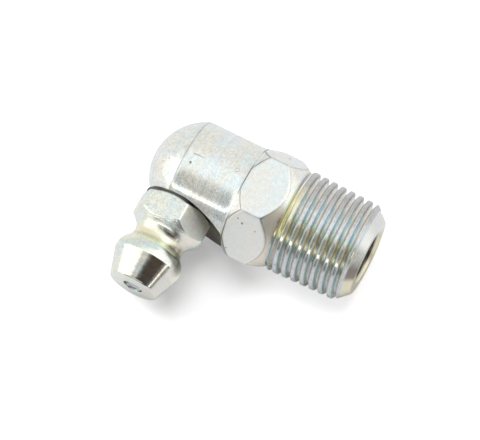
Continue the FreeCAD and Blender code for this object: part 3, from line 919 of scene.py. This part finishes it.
def steel(name, cool, warm, cloudDepth, roughness, unevenness, bumpDepth):
    # plain steel for the valve: clouded, with a roughness that varies with its patches
    material, shader, place = newMaterial(name)
    cloud = useGroup(zincCloud, {"Place": place, "Cool": cool, "Warm": warm, "Depth": cloudDepth})
    rough = plus(roughness, times(cloud["Patch"], unevenness))
    finishMetal(shader, cloud["Colour"], rough, cloud["Patch"], bumpDepth)
    return material


def ballSteel():
    # polished steel with a few fine smears
    return steel("ball_steel", cool=(0.55, 0.56, 0.58, 1), warm=(0.58, 0.57, 0.56, 1), cloudDepth=0.3,
                 roughness=0.12, unevenness=0.12, bumpDepth=0.002)


def springSteel():
    # drawn wire: dull grey with darker patches
    return steel("spring_steel", cool=(0.42, 0.43, 0.45, 1), warm=(0.47, 0.45, 0.42, 1), cloudDepth=1.0,
                 roughness=0.2, unevenness=0.3, bumpDepth=0.008)


# Stage: floor, lamp, room and camera

view = {
    "azimuth": 28.86, "elevation": 69.05, "roll": -1.1,
    "place": (26.22, -64.24, 185.26),    # millimetres
    "lens": 162.7, "sensor": 36.0,
}
room = {
    "floor": (0.86, 0.86, 0.87, 1), "floorRough": 0.7, "floorShine": 0.1, "floorHalf": 0.6,    # metres
    "daylight": 0.31,
    # how white the camera sees the floor: places in millimetres from the axes' crossing
    "glowNear": 0.19, "glowFar": 0.58, "glowMiddle": (4.0, -7.0), "glowReach": (2.5, 8.5),
    "tipGlow": 0.22, "tipMiddle": (-0.5, -15.0), "tipReach": (1.5, 5.5),
    "lampAzimuth": 228.0, "lampElevation": 77.0, "lampDistance": 0.5, "lampSize": (0.32, 0.32),
    "lampStrength": 5.6,
    "wall": (0.84, 0.84, 0.84, 1), "ceiling": (1.06, 1.10, 1.10, 1), "ceilingEdge": (52, 78),
    # azimuth from -Y towards +X and elevation in degrees: left, right, low, high, soft edge, colour
    "patches": (
        (-180, -92, -10, 48, 6, (0.82, 0.81, 0.78)),      # wall behind on the left
        (-92, -36, -10, 66, 5, (1.25, 1.24, 1.18)),       # soft box on the left
        (-34, 90, 31, 68, 9, (0.34, 0.34, 0.325)),        # dim upper part of the front wall
        (-34, 90, -10, 22, 4, (0.29, 0.30, 0.30)),        # and its foot
        (10, 80, 18, 70, 9, (0.07, 0.052, 0.043)),        # camera and its stand
        (20, 56, -10, 20, 4, (0.075, 0.055, 0.045)),      # and the stand's foot
        (-92, 34, 23, 29, 1.5, (2.7, 2.66, 2.56)),        # long lamp strip
        (62, 86, 11, 15, 1, (1.9, 1.8, 1.6)),             # bright slit beside the stand
        (104, 150, 34, 66, 5, (1.9, 1.9, 1.85)),          # skylight on the right
        (96, 168, 0, 34, 6, (1.1, 1.1, 1.07)),            # window under it
    ),
}


def wayTo(azimuth, elevation):
    # unit vector, with the azimuth from -Y towards +X, both in degrees
    a, e = math.radians(azimuth), math.radians(elevation)
    return Vector((math.sin(a) * math.cos(e), -math.cos(a) * math.cos(e), math.sin(e)))


def buildStage():
    bpy.context.scene.view_settings.view_transform = "Standard"
    half = room["floorHalf"]
    z = cadLow.z
    mesh = bpy.data.meshes.new("floor")
    mesh.from_pydata([(-half, -half, z), (half, -half, z), (half, half, z), (-half, half, z)],
                     [], [(0, 1, 2, 3)])
    floor = addObject("floor", mesh)
    material = bpy.data.materials.new("pale_floor")
    material.use_nodes = True
    tree = material.node_tree
    shader = tree.nodes["Principled BSDF"]
    shader.inputs["Base Color"].default_value = room["floor"]
    shader.inputs["Roughness"].default_value = room["floorRough"]
    shader.inputs["Specular IOR Level"].default_value = room["floorShine"]
    path = tree.nodes.new("ShaderNodeLightPath").outputs
    seen = highest(path["Is Camera Ray"], path["Is Transmission Ray"])
    # painted shadow and light on the floor: the glow is weaker in the corner between the barrel and the
    # nipple, and stronger by the tip
    where = tree.nodes.new("ShaderNodeTexCoord").outputs["Object"]
    glows = []
    for name, first, last in (("glow", room["glowNear"], room["glowFar"]), ("tip", room["tipGlow"], 0.0)):
        middle = [(crossX + room[name + "Middle"][0]) * mm, room[name + "Middle"][1] * mm, z]
        away = addNode("ShaderNodeVectorMath", {0: where, 1: middle},
                       operation="DISTANCE").outputs["Value"]
        near, far = room[name + "Reach"]
        glows.append(ease(away, near * mm, far * mm, first, last))
    tree.links.new(times(seen, plus(*glows)), shader.inputs["Emission Strength"])
    shader.inputs["Emission Color"].default_value = (1, 1, 1, 1)
    floor.data.materials.append(material)

    # a wide lamp overhead gives the shadow; the room gives the reflections
    lamp = bpy.data.lights.new("top_box", "AREA")
    lamp.shape, lamp.size, lamp.size_y = "RECTANGLE", *room["lampSize"]
    lamp.energy = room["lampStrength"] * lamp.size * lamp.size_y * math.pi
    holder = addObject("top_box", lamp)
    way = wayTo(room["lampAzimuth"], room["lampElevation"])
    holder.location = way * room["lampDistance"]
    holder.rotation_euler = way.to_track_quat("Z", "Y").to_euler()
    holder.visible_glossy = False

    world = bpy.data.worlds.new("room")
    bpy.context.scene.world = world
    world.use_nodes = True
    tree = world.node_tree
    background = tree.nodes["Background"]
    way = tree.nodes.new("ShaderNodeTexCoord").outputs["Generated"]
    x, y, z = addNode("ShaderNodeSeparateXYZ", {0: way}).outputs
    degree = 180 / math.pi
    azimuth = times(calc("ARCTAN2", x, times(y, -1.0)), degree)
    elevation = times(calc("ARCSINE", z), degree)
    colour = blendColours(ease(elevation, *room["ceilingEdge"]), room["wall"], room["ceiling"])
    for left, right, low, high, soft, shade in room["patches"]:
        inside = times(softBand(azimuth, left, right, soft), softBand(elevation, low, high, soft))
        colour = blendColours(inside, colour, (*shade, 1))
    # diffuse rays see an even daylight in place of the room
    path = tree.nodes.new("ShaderNodeLightPath").outputs
    colour = blendColours(path["Is Diffuse Ray"], colour, (*[room["daylight"]] * 3, 1))
    tree.links.new(colour, background.inputs["Color"])

    camera = addObject("camera", bpy.data.cameras.new("camera"))
    back = wayTo(view["azimuth"], view["elevation"])
    turn = back.to_track_quat("Z", "Y").to_matrix() @ Matrix.Rotation(math.radians(view["roll"]), 3, "Z")
    camera.matrix_world = Matrix.Translation(Vector(view["place"]) * mm) @ turn.to_4x4()
    camera.data.lens, camera.data.sensor_width = view["lens"], view["sensor"]
    camera.data.clip_start, camera.data.clip_end = 0.01, 10
    bpy.context.scene.camera = camera
    print("stage: floor, lamp, room and camera")


elbowPiece = buildElbow()
insertPiece = buildInsert()
ballPiece = buildBall()
springPiece = buildSpring()
for piece, finish in ((elbowPiece, elbowPlating), (insertPiece, insertPlating),
                      (ballPiece, ballSteel), (springPiece, springSteel)):
    piece.data.materials.clear()
    piece.data.materials.append(finish())
print("materials:", len(bpy.data.materials))
buildStage()
